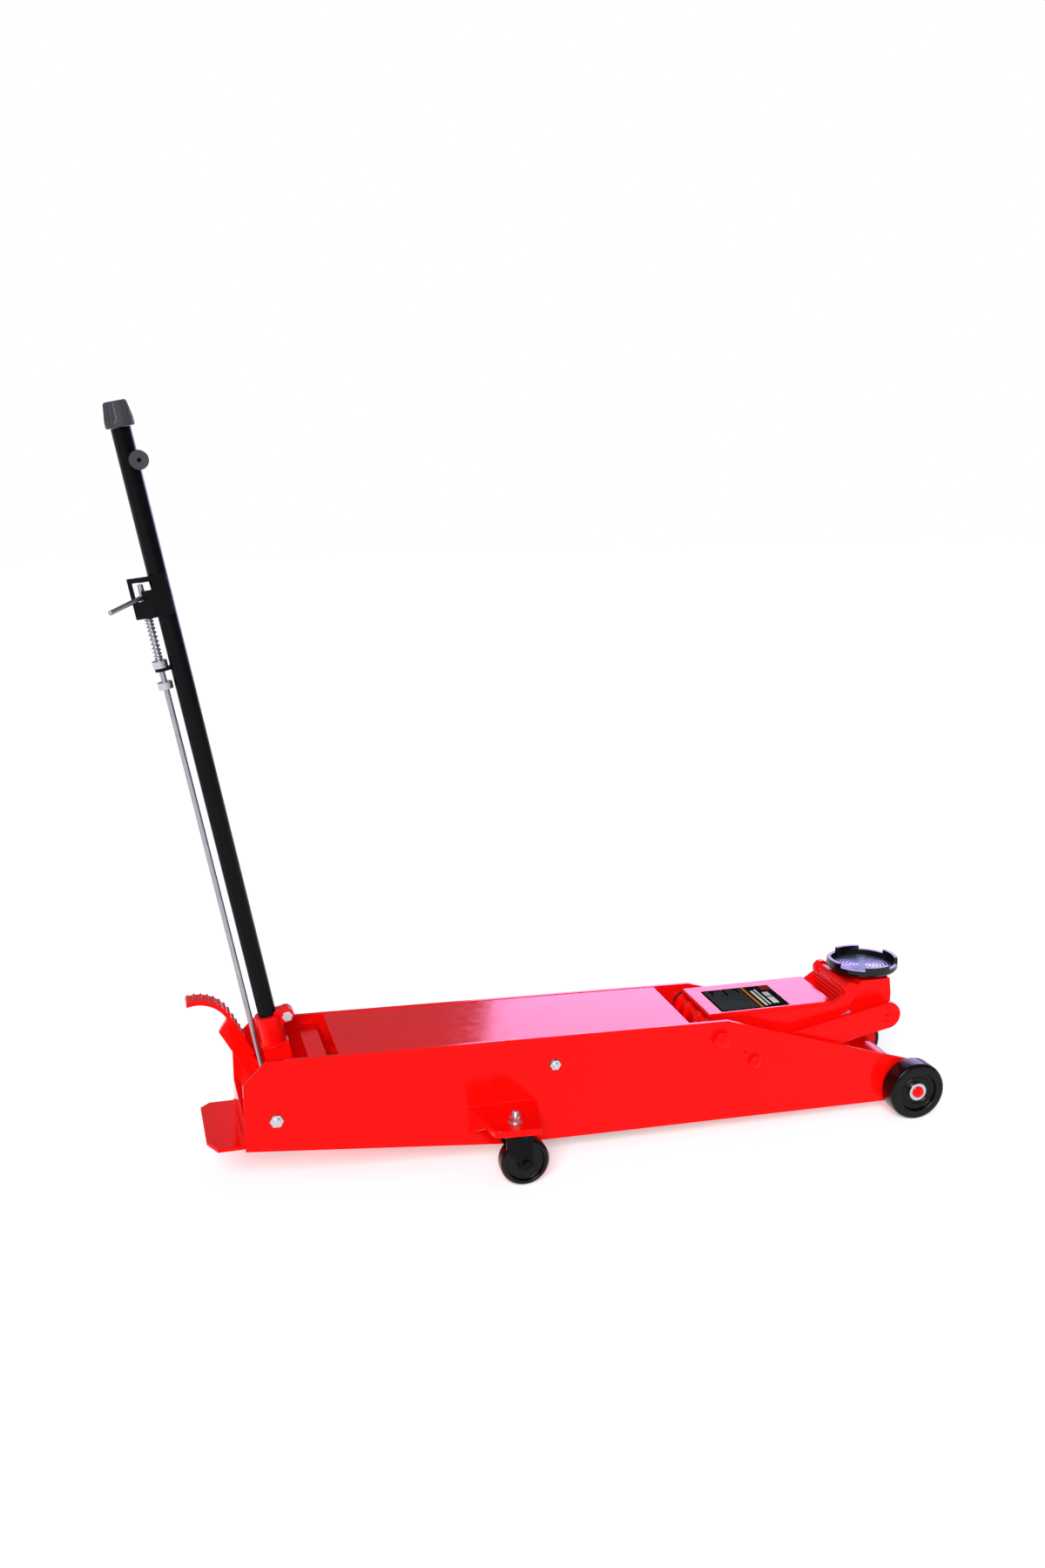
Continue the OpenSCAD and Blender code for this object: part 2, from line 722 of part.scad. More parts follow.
module yoke_outline() {
  union() {
    circle(r = yoke_hub_r);
    polygon([
      [-12, 15], [block_back, socket_base_w - 8], [block_back, socket_base_w + 6],
      [block_front, socket_base_w + 6], [block_front, socket_base_w - 6], [15, -12]
    ]);
  }
}

// Block, collar and clamp ears that hold the tube, on a yoke with the pump's roller arms
module handle_socket() {
  half = yoke_in + yoke_t + 3;
  ear_half = 14;
  roller_u = -cam_r * sin(handle_lean);
  roller_w = -cam_r * cos(handle_lean);
  color("red") in_handle() difference() {
    union() {
      translate([block_back, -half, socket_base_w])
        cube([block_front - block_back, 2 * half, socket_w - socket_base_w]);
      translate([tube_u, 0, socket_w - 1]) cylinder(h = socket_top_w - socket_w + 1, r = tube_d / 2 + socket_wall);
      translate([tube_u + 12, -ear_half, ear_w - ear_r + 1])
        cube([ear_u - tube_u - 12, 2 * ear_half, 2 * ear_r - 2]);
      bar_y(ear_u, ear_w, -ear_half, ear_half, ear_r);
      for (side = [-1, 1]) mirrored(side) slab_y(yoke_in, yoke_t) yoke_outline();
      for (side = [-1, 1]) mirrored(side) strap_y(yoke_in, yoke_t, 0, 0, 14, roller_u, roller_w, 9);
    }
    translate([tube_u, 0, socket_base_w + 20]) cylinder(h = 200, d = tube_d + 2 * run_gap);
    translate([tube_u + 10, -1.5, ear_w - ear_r - 8]) cube([60, 3, 60]);
    bar_y(ear_u, ear_w, -40, 40, 5);
    bar_y(0, 0, -40, 40, pivot_d / 2 + run_gap);
    bar_y(roller_u, roller_w, -40, 40, 6);
  }
}

module cam_roller() {
  color("silver") at_axle() {
    bar_y(pivot_x, pivot_z - cam_r, -11.5, 11.5, cam_roller_r);
    bar_y(pivot_x, pivot_z - cam_r, -yoke_in - yoke_t, yoke_in + yoke_t, 6);
  }
}

module socket_bolt() {
  color("silver") in_handle() {
    bar_y(ear_u, ear_w, -14, 24, 5);
    hex_y(ear_u, ear_w, -21, 7, 19);
    hex_y(ear_u, ear_w, 14, 8, 19);
  }
}

module handle_tube() {
  wall = 4;
  color("black") in_handle() translate([tube_u, 0, 0]) difference() {
    translate([0, 0, socket_base_w + 20]) cylinder(h = knob_w - side_gap - socket_base_w - 20, d = tube_d);
    translate([0, 0, socket_base_w + 19]) cylinder(h = 2000, d = tube_d - 2 * wall);
  }
}

module side_grip() {
  u = tube_u + 16;
  w = handle_len - 106;
  color("dimgray") in_handle() translate([0, 0, w]) difference() {
    union() {
      bar_y(u, 0, -62, -19, 16.5);
      bar_y(u, 0, -20, -8, 10);
    }
    translate([tube_u, 0, -30]) cylinder(h = 60, d = tube_d);
    bar_y(u, 0, -63, -46, 4);
  }
}

// Bent sheet with the slot that the cross handle is lifted and parked in
bend = [12.5, -20.3];
back = [-20.5, 1.7];
module latch_bracket() {
  t = 4;
  turn = atan2(back[1] - bend[1], back[0] - bend[0]);
  // Half a sheet's thickness, square to the slanted side and at the bend
  side = [sin(turn), -cos(turn)] * -t / 2;
  corner = [-tan((180 - turn) / 2), -1] * t / 2;
  color("black") in_handle() difference() {
    union() {
      translate([0, 0, bracket_w]) linear_extrude(bracket_h) polygon([
        [tube_u + 12, bend[1] - t / 2], bend + corner, back + side,
        back - side, bend - corner, [tube_u + 12, bend[1] + t / 2]
      ]);
      translate([tube_u - 14, bend[1] + 1, bracket_w + 12]) cube([9, 12, bracket_h - 20]);
      translate([0, 0, bracket_w + 0.5]) cylinder(h = 4, r = 14);
    }
    translate([tube_u, 0, bracket_w - 10]) cylinder(h = bracket_h + 20, d = tube_d);
    cylinder(h = 1200, d = lock_rod_d + 1.2);
    translate([-13.3, -40, handle_pin_w - 7]) cube([11.6, 50, 35]);
    translate([-5.5, -40, handle_pin_w + 12]) cube([26, 50, 15.5]);
  }
}

module guide_tab() {
  color("black") in_handle() difference() {
    hull() {
      translate([0, 0, tab_w]) cylinder(h = tab_t, r = 12);
      translate([tube_u - 12, 0, tab_w]) cylinder(h = tab_t, r = 8);
    }
    translate([tube_u, 0, tab_w - 20]) cylinder(h = 50, d = tube_d);
    cylinder(h = 1200, d = lock_rod_d + 1.2);
  }
}

module release_knob() {
  flutes = 20;
  top_r = knob_d / 2 - 5;
  color("dimgray") in_handle() translate([tube_u, 0, knob_w]) difference() {
    rotate_extrude($fn = 96) polygon([
      [0, 6], [tube_d / 2 + 1, 6], [tube_d / 2 + 1, 0], [knob_d / 2 - 1.5, 0], [knob_d / 2, 2],
      [knob_d / 2, 12], [top_r, knob_h - 3], [top_r - 3, knob_h], [0, knob_h]
    ]);
    for (i = [1:flutes]) rotate([0, 0, i * 360 / flutes]) translate([knob_d / 2 - 0.5, 0, 13])
      rotate([0, -asin(5 / (knob_h - 15)), 0]) cylinder(h = knob_h, r = 1.8, $fn = 16);
  }
}

module release_rod() {
  color("silver") in_handle() translate([tube_u, 0, socket_base_w + 22])
    cylinder(h = knob_w + 6 - socket_base_w - 22, d = 10);
}

module lock_rod() {
  color("silver") in_handle() difference() {
    translate([0, 0, tip_w]) cylinder(h = bracket_w + bracket_h - 14 - tip_w, d = lock_rod_d);
    translate([0, 0, handle_pin_w]) rotate([0, 90 + pin_droop, 180 + pin_turn]) cylinder(h = 40, d = 9, center = true);
  }
}

module lock_collars() {
  color("silver") for (w = [collar_low_w, collar_top_w + 0.6]) in_handle() translate([0, 0, w]) difference() {
    cylinder(h = collar_h - 1, r = 14);
    translate([0, 0, -1]) cylinder(h = collar_h + 2, d = lock_rod_d);
    translate([0, 0, collar_h / 2]) rotate([0, 90, -60]) translate([0, 0, 9]) cylinder(h = 10, r = 2.5);
  }
}

module cross_handle() {
  color("silver") in_handle() translate([0, 0, handle_pin_w]) rotate([0, 90 + pin_droop, 180 + pin_turn])
    translate([0, 0, -5]) cylinder(h = 93, d = 9);
}

// The spring's outer shape: a sleeve round the rod
module latch_spring() {
  color("silver") in_handle() difference() {
    translate([0, 0, spring_w]) cylinder(h = bracket_w - spring_w - 0.6, r = 8.5);
    cylinder(h = 1200, d = lock_rod_d + 2);
  }
}

// ---- Pedal ----

pedal_y = 32;
pedal_r = 74;
pedal_sweep = 62;
pedal_cx = -1504;
pedal_cz = 284;
module pedal_tread_outline() {
  end_x = pedal_cx + pedal_r * sin(pedal_sweep);
  end_z = pedal_cz + pedal_r * cos(pedal_sweep);
  run = 96;
  union() {
    difference() {
      translate([pedal_cx, pedal_cz]) circle(r = pedal_r);
      translate([pedal_cx, pedal_cz]) circle(r = pedal_r - pedal_t);
      translate([pedal_cx - 200, pedal_cz - 200]) square([180, 400]);
      translate([pedal_cx - 200, pedal_cz - 400]) square([400, 400]);
      translate([pedal_cx, pedal_cz]) rotate(90 - pedal_sweep) translate([-1, -200]) square([200, 200]);
    }
    translate([end_x, end_z]) rotate(-pedal_sweep) translate([-0.5, -pedal_t]) square([run, pedal_t]);
  }
}

module foot_pedal() {
  pitch = 13;
  ridge_r = 2.6;
  step = pitch / pedal_r * 180 / PI;
  color("red") at_axle() difference() {
    union() {
      slab_y(pedal_y, pedal_w) pedal_tread_outline();
      for (a = [-12:step:pedal_sweep]) bar_y(pedal_cx + pedal_r * sin(a), pedal_cz + pedal_r * cos(a),
        pedal_y, pedal_y + pedal_w, ridge_r);
      for (i = [1:4]) bar_y(
        pedal_cx + pedal_r * sin(pedal_sweep) + i * pitch * cos(pedal_sweep),
        pedal_cz + pedal_r * cos(pedal_sweep) - i * pitch * sin(pedal_sweep),
        pedal_y, pedal_y + pedal_w, ridge_r);
      slab_y(pedal_y + 4, 12) polygon([
        [pivot_x - 16, pivot_z - 4], [pivot_x + 16, pivot_z + 4],
        [pedal_cx + 0.93 * pedal_r * sin(pedal_sweep) + 88 * cos(pedal_sweep),
          pedal_cz + 0.93 * pedal_r * cos(pedal_sweep) - 88 * sin(pedal_sweep)],
        [pedal_cx + 0.93 * pedal_r * sin(pedal_sweep), pedal_cz + 0.93 * pedal_r * cos(pedal_sweep)],
        [pedal_cx + 0.93 * pedal_r * sin(pedal_sweep) - 20, pedal_cz + 0.93 * pedal_r * cos(pedal_sweep) - 30]
      ]);
      bar_y(pivot_x, pivot_z, pedal_y - 4, pedal_y + pedal_w - 4, 18);
    }
    bar_y(pivot_x, pivot_z, pedal_y - 5, pedal_y + pedal_w + 5, pivot_d / 2 + run_gap);
  }
}

module pump_plunger() {
  head_x = pivot_x + cam_roller_r + cam_gap;
  color("silver") at_axle() {
    translate([head_x, 0, plunger_z]) rotate([0, 90, 0]) cylinder(h = 8, r = 16);
    translate([head_x + 7, 0, plunger_z]) rotate([0, 90, 0])
      cylinder(h = pump_back + 30 - head_x, r = plunger_r);
  }
}

side_plate_right();
side_plate_left();
top_cover();
bay_plate();
rear_step();
rear_cross_plate();
front_cross_tube();
front_mount_plate();
rear_mount_plate();
tie_rod();
caster_bracket_right();
caster_bracket_left();
kingpins();
front_axle();
axle_rings();
arm_shaft();
arm_shaft_spacers();
link_bolts();
handle_shaft();
lock_quadrant();
pump_casting();
reservoir();
lift_cylinder();
cylinder_gland();
front_wheel_right();
front_wheel_left();
caster_fork_right();
caster_fork_left();
caster_axle_right();
caster_axle_left();
caster_wheel_right();
caster_wheel_left();
arm_cheek_right();
arm_cheek_left();
arm_top_plate();
arm_hub();
arm_lever();
lever_roller();
arm_front_pin();
link_right();
link_left();
saddle_block();
link_pin();
saddle();
ram();
handle_socket();
cam_roller();
socket_bolt();
handle_tube();
side_grip();
latch_bracket();
guide_tab();
release_knob();
release_rod();
lock_rod();
lock_collars();
cross_handle();
latch_spring();
foot_pedal();
pump_plunger();
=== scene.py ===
# Long-chassis service jack: finishes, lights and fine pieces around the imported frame.
import math

import bmesh
import bpy
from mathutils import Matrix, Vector


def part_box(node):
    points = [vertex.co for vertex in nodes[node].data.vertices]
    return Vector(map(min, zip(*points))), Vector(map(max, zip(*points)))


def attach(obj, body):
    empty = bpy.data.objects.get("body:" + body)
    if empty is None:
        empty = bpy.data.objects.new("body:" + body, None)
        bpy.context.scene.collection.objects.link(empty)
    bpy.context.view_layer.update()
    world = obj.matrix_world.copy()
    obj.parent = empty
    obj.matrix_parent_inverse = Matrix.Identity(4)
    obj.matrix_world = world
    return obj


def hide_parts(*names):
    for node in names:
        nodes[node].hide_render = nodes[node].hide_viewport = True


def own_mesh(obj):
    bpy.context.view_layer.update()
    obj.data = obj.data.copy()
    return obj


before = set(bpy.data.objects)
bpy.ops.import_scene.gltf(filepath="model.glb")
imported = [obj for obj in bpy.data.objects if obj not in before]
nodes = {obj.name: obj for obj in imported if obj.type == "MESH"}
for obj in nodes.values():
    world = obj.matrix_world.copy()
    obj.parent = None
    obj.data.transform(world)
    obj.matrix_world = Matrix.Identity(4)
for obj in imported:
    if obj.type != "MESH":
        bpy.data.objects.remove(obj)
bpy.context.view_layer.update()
scene = bpy.context.scene
MM = 0.001


# ---------------------------------------------------------------- camera

def make_camera():
    data = bpy.data.cameras.new("camera")
    data.lens = 35.017
    data.sensor_width = 36.0
    data.sensor_fit = "AUTO"
    data.clip_start = 0.05
    data.clip_end = 60.0
    cam = bpy.data.objects.new("camera", data)
    azimuth, elevation = math.radians(-15.70), math.radians(13.58)
    back = Vector((
        math.sin(azimuth) * math.cos(elevation),
        -math.cos(azimuth) * math.cos(elevation),
        math.sin(elevation),
    ))
    cam.rotation_mode = "QUATERNION"
    cam.rotation_quaternion = back.to_track_quat("Z", "Y")
    cam.location = (-0.8743, -2.8703, 1.4857)
    scene.collection.objects.link(cam)
    scene.camera = cam


make_camera()


# ---------------------------------------------------------------- materials

class Paint:
    """A Principled material and the nodes that vary it, in object coordinates (metres)."""

    def __init__(self, name, color, rough, metallic=0.0, specular=0.5, tint=(1, 1, 1)):
        self.mat = bpy.data.materials.new(name)
        self.mat.use_nodes = True
        self.mat.diffuse_color = (*color, 1)
        self.tree = self.mat.node_tree
        self.tree.nodes.clear()
        self.out = self.tree.nodes.new("ShaderNodeOutputMaterial")
        self.bsdf = self.tree.nodes.new("ShaderNodeBsdfPrincipled")
        self.tree.links.new(self.bsdf.outputs["BSDF"], self.out.inputs["Surface"])
        self.coords = self.tree.nodes.new("ShaderNodeTexCoord")
        s = self.bsdf.inputs
        s["Base Color"].default_value = (*color, 1)
        s["Roughness"].default_value = rough
        s["Metallic"].default_value = metallic
        s["Specular IOR Level"].default_value = specular
        s["Specular Tint"].default_value = (*tint, 1)
        self.normal = None

    def node(self, kind, **values):
        n = self.tree.nodes.new(kind)
        for key, value in values.items():
            setattr(n, key, value)
        return n

    def link(self, a, b):
        self.tree.links.new(a, b)

    def noise(self, scale, detail=3.0, roughness=0.5, stretch=(1, 1, 1)):
        mapping = self.node("ShaderNodeMapping")
        mapping.inputs["Scale"].default_value = stretch
        self.link(self.coords.outputs["Object"], mapping.inputs["Vector"])
        n = self.node("ShaderNodeTexNoise")
        n.inputs["Scale"].default_value = scale
        n.inputs["Detail"].default_value = detail
        n.inputs["Roughness"].default_value = roughness
        self.link(mapping.outputs["Vector"], n.inputs["Vector"])
        return n.outputs["Fac"]

    def span(self, fac, low, high, from_low=0.3, from_high=0.7):
        n = self.node("ShaderNodeMapRange")
        n.inputs["From Min"].default_value = from_low
        n.inputs["From Max"].default_value = from_high
        n.inputs["To Min"].default_value = low
        n.inputs["To Max"].default_value = high
        self.link(fac, n.inputs["Value"])
        return n.outputs["Result"]

    def tint(self, fac, dark, light, from_low=0.3, from_high=0.7):
        ramp = self.node("ShaderNodeValToRGB")
        ramp.color_ramp.elements[0].position = from_low
        ramp.color_ramp.elements[0].color = (*dark, 1)
        ramp.color_ramp.elements[1].position = from_high
        ramp.color_ramp.elements[1].color = (*light, 1)
        self.link(fac, ramp.inputs["Fac"])
        self.link(ramp.outputs["Color"], self.bsdf.inputs["Base Color"])
        return self

    def roughen(self, fac, low, high):
        self.link(self.span(fac, low, high), self.bsdf.inputs["Roughness"])
        return self

    def bump(self, fac, strength, distance):
        n = self.node("ShaderNodeBump")
        n.inputs["Strength"].default_value = strength
        n.inputs["Distance"].default_value = distance
        self.link(fac, n.inputs["Height"])
        if self.normal is not None:
            self.link(self.normal, n.inputs["Normal"])
        self.normal = n.outputs["Normal"]
        self.link(self.normal, self.bsdf.inputs["Normal"])
        return self


def shade(color, factor):
    return tuple(min(1.0, c * factor) for c in color)


RED = (0.88, 0.0030, 0.0018)

def red_paint(name, rough=0.12, peel=0.03, cast=0.0):
    p = Paint(name, RED, rough, specular=0.55, tint=(1.0, 0.11, 0.14))
    p.tint(p.noise(5.0, 4.0), shade(RED, 0.93), shade(RED, 1.04))
    p.roughen(p.noise(45.0, 3.0), rough - 0.03, rough + 0.06)
    p.bump(p.noise(420.0, 2.0), peel, 0.0005)
    if cast:
        p.bump(p.noise(170.0, 5.0, 0.65), cast, 0.0012)
    return p.mat


def black_paint(name, rough=0.20, specular=0.10):
    p = Paint(name, (0.0018, 0.0018, 0.0022), rough, specular=specular)
    p.tint(p.noise(8.0, 4.0), (0.0014, 0.0014, 0.0018), (0.0024, 0.0024, 0.0028))
    p.roughen(p.noise(60.0, 3.0), rough - 0.04, rough + 0.09)
    p.bump(p.noise(420.0, 2.0), 0.04, 0.0006)
    return p.mat


def moulded(name, color, rough, grain=900.0, depth=0.22, specular=0.3):
    p = Paint(name, color, rough, specular=specular)
    p.tint(p.noise(18.0, 4.0), shade(color, 0.8), shade(color, 1.25))
    p.roughen(p.noise(130.0, 3.0), rough - 0.06, rough + 0.10)
    p.bump(p.noise(grain, 3.0, 0.6), depth, 0.0004)
    return p.mat


def metal(name, color, rough, streak=(1, 1, 1), grain=260.0, depth=0.05, blotch=0.85):
    p = Paint(name, color, rough, metallic=1.0)
    p.tint(p.noise(30.0, 5.0, 0.6), shade(color, blotch), shade(color, 1.08))
    p.roughen(p.noise(grain, 4.0, 0.6, streak), rough - 0.06, rough + 0.12)
    p.bump(p.noise(grain * 1.6, 3.0, 0.5, streak), depth, 0.0004)
    return p.mat


MATERIALS = {
    "red": red_paint("red_paint"),
    "cast": red_paint("red_casting", rough=0.20, peel=0.04, cast=0.30),
    "black": black_paint("black_paint"),
    "gloss": black_paint("black_gloss", rough=0.13, specular=0.34),
    "tread": black_paint("wheel_gloss", rough=0.17, specular=0.20),
    "grip": moulded("grip_plastic", (0.035, 0.038, 0.044), 0.46),
    "zinc": metal("zinc_plate", (0.62, 0.63, 0.66), 0.26),
    "chrome": metal("chrome", (0.78, 0.79, 0.82), 0.10, depth=0.02, blotch=0.93),
    "rod": metal("drawn_steel", (0.42, 0.42, 0.44), 0.30, (6, 6, 0.6)),
    "spring": metal("spring_wire", (0.40, 0.40, 0.42), 0.16, depth=0.02),
    "dark": metal("dark_steel", (0.10, 0.10, 0.11), 0.40, blotch=0.75),
}

MATERIALS.update({
    # The saddle plate's bluish grey is painted reflection of the white surroundings in the glossy black
    # saddle floor
    "plate": metal("saddle_plate_painted_reflection", (0.20, 0.27, 0.36), 0.30, depth=0.03, blotch=0.9),
    "label_black": moulded("label_black", (0.008, 0.008, 0.009), 0.35, 300.0, 0.02, 0.0),
    "label_grey": moulded("label_grey", (0.10, 0.11, 0.11), 0.45, 300.0, 0.02, 0.0),
    "label_orange": moulded("label_orange", (0.55, 0.16, 0.02), 0.40, 300.0, 0.02, 0.0),
    "label_white": moulded("label_white", (0.62, 0.62, 0.60), 0.40, 300.0, 0.02, 0.0),
    "label_red": moulded("label_red", (0.22, 0.02, 0.012), 0.40, 300.0, 0.02, 0.0),
})

FINISH = {
    "red": ["side_plate_right", "side_plate_left", "top_cover", "bay_plate", "rear_step", "rear_cross_plate",
            "front_cross_tube", "front_mount_plate", "rear_mount_plate", "caster_bracket_right",
            "caster_bracket_left", "front_axle", "arm_shaft", "link_bolts", "arm_cheek_right",
            "arm_cheek_left", "arm_top_plate", "arm_hub", "arm_lever", "link_right", "link_left",
            "reservoir", "foot_pedal", "arm_front_pin", "link_pin"],
    "cast": ["pump_casting", "saddle_block", "handle_socket"],
    "black": ["handle_tube", "latch_bracket", "guide_tab", "caster_fork_right",
              "caster_fork_left", "caster_axle_right", "caster_axle_left"],
    "gloss": ["saddle"],
    "tread": ["front_wheel_right", "front_wheel_left", "caster_wheel_right",
              "caster_wheel_left"],
    "grip": ["side_grip", "release_knob"],
    "zinc": ["tie_rod", "kingpins", "axle_rings", "handle_shaft", "cylinder_gland",
             "cam_roller", "socket_bolt", "lock_collars", "lever_roller"],
    "chrome": ["ram", "pump_plunger", "latch_spring"],
    "rod": ["lock_rod", "cross_handle", "release_rod"],
    "dark": ["arm_shaft_spacers", "lock_quadrant", "lift_cylinder"],
}

# Width of the rounded edge on each node, in mm; the rest get the first value
EDGE = 1.2
EDGES = {
    "top_cover": 2.2, "saddle_block": 3.0, "pump_casting": 3.0, "handle_socket": 2.0,
    "arm_top_plate": 1.6, "arm_cheek_right": 1.6, "arm_cheek_left": 1.6, "link_right": 1.8,
    "link_left": 1.8, "foot_pedal": 0.8, "latch_bracket": 0.7, "guide_tab": 0.7,
    "release_knob": 0.5, "lock_collars": 0.8, "side_grip": 1.2, "axle_rings": 0.5,
    "socket_bolt": 0.7, "caster_fork_right": 1.0, "caster_fork_left": 1.0, "lock_rod": 0.4,
    "tie_rod": 1.0, "handle_shaft": 1.0, "kingpins": 0.8, "lift_cylinder": 0.8,
    "cylinder_gland": 0.6, "ram": 0.8, "lock_quadrant": 0.8,
}


def soften(obj, width, segments=3, angle=28.0):
    weld = obj.modifiers.new("weld", "WELD")
    weld.merge_threshold = 0.00002
    flat = obj.modifiers.new("flat", "DECIMATE")
    flat.decimate_type = "DISSOLVE"
    flat.angle_limit = math.radians(0.5)
    bevel = obj.modifiers.new("bevel", "BEVEL")
    bevel.width = width * MM
    bevel.segments = segments
    bevel.limit_method = "ANGLE"
    bevel.angle_limit = math.radians(angle)
    bevel.miter_outer = "MITER_ARC"
    bevel.use_clamp_overlap = True
    normal = obj.modifiers.new("normal", "WEIGHTED_NORMAL")
    normal.keep_sharp = False
    normal.weight = 60


def dress(obj, material, width=None):
    obj.data.materials.clear()
    obj.data.materials.append(MATERIALS[material])
    for polygon in obj.data.polygons:
        polygon.use_smooth = True
        polygon.material_index = 0
    if width:
        soften(obj, width)


for finish, names in FINISH.items():
    for name in names:
        dress(nodes[name], finish, EDGES.get(name, EDGE))

unpainted = sorted(set(nodes) - {n for names in FINISH.values() for n in names})
assert not unpainted, unpainted


# ---------------------------------------------------------------- mesh helpers

def new_piece(name, mesh_builder, material, body, smooth=True):
    bm = bmesh.new()
    mesh_builder(bm)
    bmesh.ops.recalc_face_normals(bm, faces=bm.faces)
    mesh = bpy.data.meshes.new(name)
    bm.to_mesh(mesh)
    bm.free()
    for polygon in mesh.polygons:
        polygon.use_smooth = smooth
    obj = bpy.data.objects.new(name, mesh)
    scene.collection.objects.link(obj)
    mesh.materials.append(MATERIALS[material] if isinstance(material, str) else material)
    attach(obj, body)
    return obj


def frames_along(points, closed=False):
    """A tangent and two cross directions at each point of a path, without twist."""
    count = len(points)
    tangents = []
    for i in range(count):
        a = points[(i - 1) % count if closed else max(i - 1, 0)]
        b = points[(i + 1) % count if closed else min(i + 1, count - 1)]
        tangents.append((b - a).normalized())
    first = tangents[0].orthogonal().normalized()
    out = []
    side = first
    for t in tangents:
        side = (side - t * side.dot(t)).normalized()
        out.append((t, side, t.cross(side)))
    return out


def sweep(bm, points, radii, sides=10, closed=False, caps=True):
    rings = []
    for (t, a, b), p, r in zip(frames_along(points, closed), points, radii):
        ring = []
        for k in range(sides):
            turn = 2 * math.pi * k / sides
            ring.append(bm.verts.new(p + (a * math.cos(turn) + b * math.sin(turn)) * r))
        rings.append(ring)
    pairs = list(zip(rings, rings[1:]))
    if closed:
        pairs.append((rings[-1], rings[0]))
    for low, high in pairs:
        for k in range(sides):
            bm.faces.new((low[k], low[(k + 1) % sides], high[(k + 1) % sides], high[k]))
    if caps and not closed:
        bm.faces.new(rings[0])
        bm.faces.new(rings[-1])


def resample(corners, step):
    points = []
    for a, b in zip(corners, corners[1:]):
        count = max(1, round((b - a).length / step))
        points += [a.lerp(b, i / count) for i in range(count)]
    return points + [corners[-1]]


def weld_bead(name, corners, radius, body, material="red", closed=False):
    """A run of overlapping weld ripples along a path, in metres."""
    step = radius * 0.42
    points = resample(corners + ([corners[0]] if closed else []), step)
    if closed:
        points = points[:-1]
    radii = []
    for i in range(len(points)):
        phase = (i % 3) / 3
        swell = 1 + 0.07 * math.sin(i * 0.9) + 0.05 * math.sin(i * 0.37 + 1)
        radii.append(radius * (0.86 + 0.2 * phase) * swell)
    if not closed:
        radii[0] = radii[-1] = radius * 0.45
    return new_piece(name, lambda bm: sweep(bm, points, radii, 10, closed), material, body)


def lathe(bm, profile, center, axis=(0, 0, 1), segments=48):
    """Turns (radius, height) points round an axis through center."""
    turn = Vector((0, 0, 1)).rotation_difference(Vector(axis).normalized()).to_matrix()
    rings = []
    for r, h in profile:
        if r <= 0:
            rings.append([bm.verts.new(center + turn @ Vector((0, 0, h)))])
            continue
        rings.append([
            bm.verts.new(center + turn @ Vector((
                r * math.cos(2 * math.pi * k / segments), r * math.sin(2 * math.pi * k / segments), h)))
            for k in range(segments)
        ])
    for low, high in zip(rings, rings[1:]):
        for k in range(segments):
            j = (k + 1) % segments
            a = [low[k % len(low)], low[j % len(low)]] if len(low) > 1 else [low[0]]
            b = [high[j % len(high)], high[k % len(high)]] if len(high) > 1 else [high[0]]
            bm.faces.new(a + b)


# ---------------------------------------------------------------- places, from the frame

def station(x, y, z):
    """A point given in mm from the front axle's station."""
    low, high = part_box("front_axle")
    return Vector(((low.x + high.x) / 2 + x * MM, y * MM, z * MM))


HALF_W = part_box("side_plate_left")[1].y / MM
LEAN = math.radians(10.7)
PIVOT = station(-1371.5, 0, 154.6)
FORWARD = Vector((math.cos(LEAN), 0, math.sin(LEAN)))
ALONG = Vector((-math.sin(LEAN), 0, math.cos(LEAN)))


def on_handle(u, y, w):
    return PIVOT + FORWARD * (u * MM) + ALONG * (w * MM) + Vector((0, y * MM, 0))


# ---------------------------------------------------------------- latch spring

def make_spring():
    low_w, high_w = 907.0, 987.4
    wire, mean, turns = 1.3, 7.2, 11
    points = []
    per_turn = 20
    total = turns * per_turn
    for i in range(total + 1):
        f = i / total
        # The end coils are closed, the others evenly open
        g = 0.5 - 0.5 * math.cos(math.pi * f)
        g = 0.35 * g + 0.65 * f
        a = 2 * math.pi * turns * f
        w = low_w + wire + (high_w - low_w - 2 * wire) * g
        points.append(
            PIVOT + ALONG * (w * MM)
            + FORWARD * (mean * MM * math.cos(a)) + Vector((0, mean * MM * math.sin(a), 0))
        )
    piece = new_piece(
        "coil_spring", lambda bm: sweep(bm, points, [wire * MM] * len(points), 8), "spring", "lock_rod")
    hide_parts("latch_spring")
    return piece


spring = make_spring()
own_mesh(spring)


# ---------------------------------------------------------------- weld beads

SIDES = {"right": -1, "left": 1}
PLATE_T = 8.0
INNER = HALF_W - PLATE_T
AXLE_Z = 63.5
KINGPIN_X = -914
KINGPIN_Y = 203.5
TUBE_U = 34.7


def circle(count, radius):
    """Points (a, b) round a circle, for a path that closes on itself."""
    turns = [2 * math.pi * k / count for k in range(count)]
    return [(radius * math.cos(a), radius * math.sin(a)) for a in turns]


